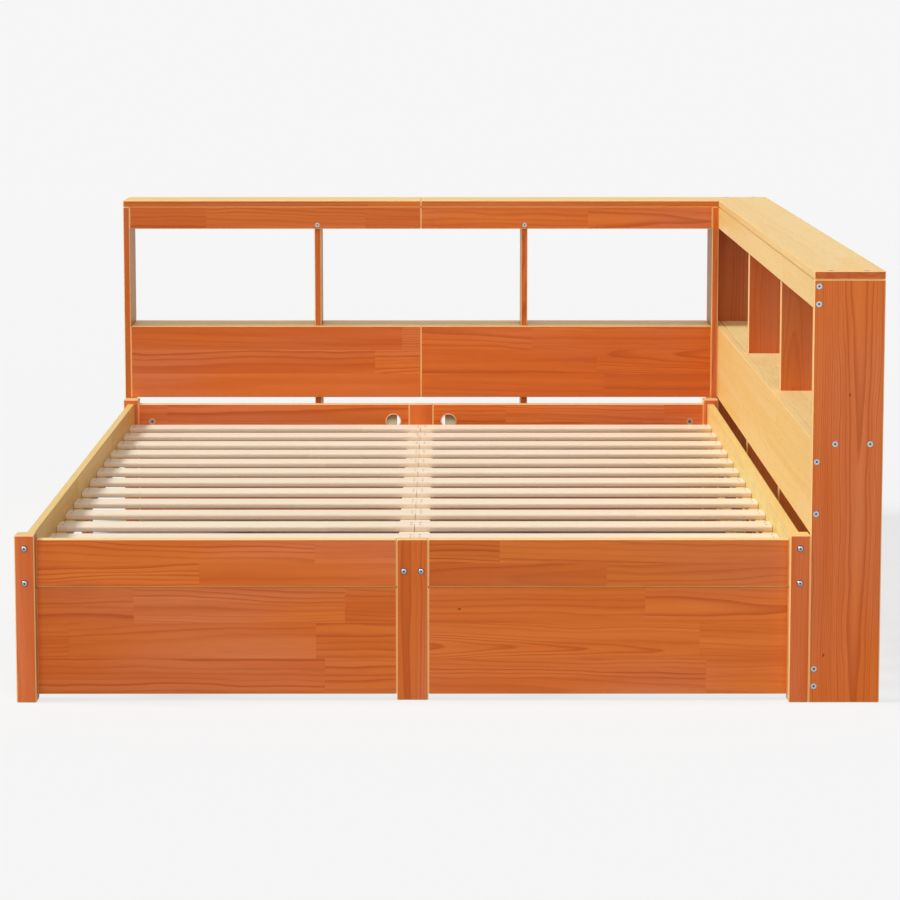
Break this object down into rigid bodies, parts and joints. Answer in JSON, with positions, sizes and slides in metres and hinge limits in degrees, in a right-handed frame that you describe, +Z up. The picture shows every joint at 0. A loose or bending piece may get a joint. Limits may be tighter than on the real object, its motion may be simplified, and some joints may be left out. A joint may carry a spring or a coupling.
{
  "type": "bookcase headboard bed",
  "caption": "Low double bed frame in stained solid pine with a slatted base, an open bookcase as its headboard and a matching open bookcase along one side.",
  "frame": {"origin": "on the floor, at the centre of the overall box of bed and bookcases", "axes": "+Z up, +Y from the foot end towards the bookcase headboard, +X from the open left side towards the side bookcase"},
  "size_m": [1.81, 2.2402, 0.91],
  "materials": {
    "stained_pine": "wax-brown stain under satin lacquer",
    "slat_pine": "planed, untreated",
    "beam_pine": "planed, untreated",
    "zinc_steel": "bright zinc plate"
  },
  "bodies": {
    "root": {"back_divider_left": "stained_pine", "back_divider_right": "stained_pine", "back_fascia_left": "stained_pine", "back_fascia_right": "stained_pine", "back_panel_left": "stained_pine", "back_panel_right": "stained_pine", "back_plinth": "stained_pine", "back_seam_battens": "stained_pine", "back_shelves": "stained_pine", "back_side_left": "stained_pine", "back_side_right": "stained_pine", "back_top_left": "stained_pine", "back_top_right": "stained_pine", "centre_beam": "beam_pine", "centre_leg": "stained_pine", "centre_post_foot": "stained_pine", "centre_post_head": "stained_pine", "foot_panel_left": "stained_pine", "foot_panel_right": "stained_pine", "foot_rail_left": "stained_pine", "foot_rail_right": "stained_pine", "frame_bolts": "zinc_steel", "head_panel_left": "stained_pine", "head_panel_right": "stained_pine", "head_rail_left": "stained_pine", "head_rail_right": "stained_pine", "post_foot_left": "stained_pine", "post_foot_right": "stained_pine", "post_head_left": "stained_pine", "post_head_right": "stained_pine", "side_divider_front": "stained_pine", "side_divider_rear": "stained_pine", "side_end_front": "stained_pine", "side_end_rear": "stained_pine", "side_fascia": "stained_pine", "side_leg_left": "stained_pine", "side_leg_right": "stained_pine", "side_panel": "stained_pine", "side_plinth": "stained_pine", "side_rail_left": "stained_pine", "side_rail_right": "stained_pine", "side_shelves": "stained_pine", "side_top": "stained_pine", "slat_ledges": "stained_pine", "slat_row_01": "slat_pine", "slat_row_02": "slat_pine", "slat_row_03": "slat_pine", "slat_row_04": "slat_pine", "slat_row_05": "slat_pine", "slat_row_06": "slat_pine", "slat_row_07": "slat_pine", "slat_row_08": "slat_pine", "slat_row_09": "slat_pine", "slat_row_10": "slat_pine", "slat_row_11": "slat_pine", "slat_row_12": "slat_pine", "slat_row_13": "slat_pine"}
  },
  "joints": []
}
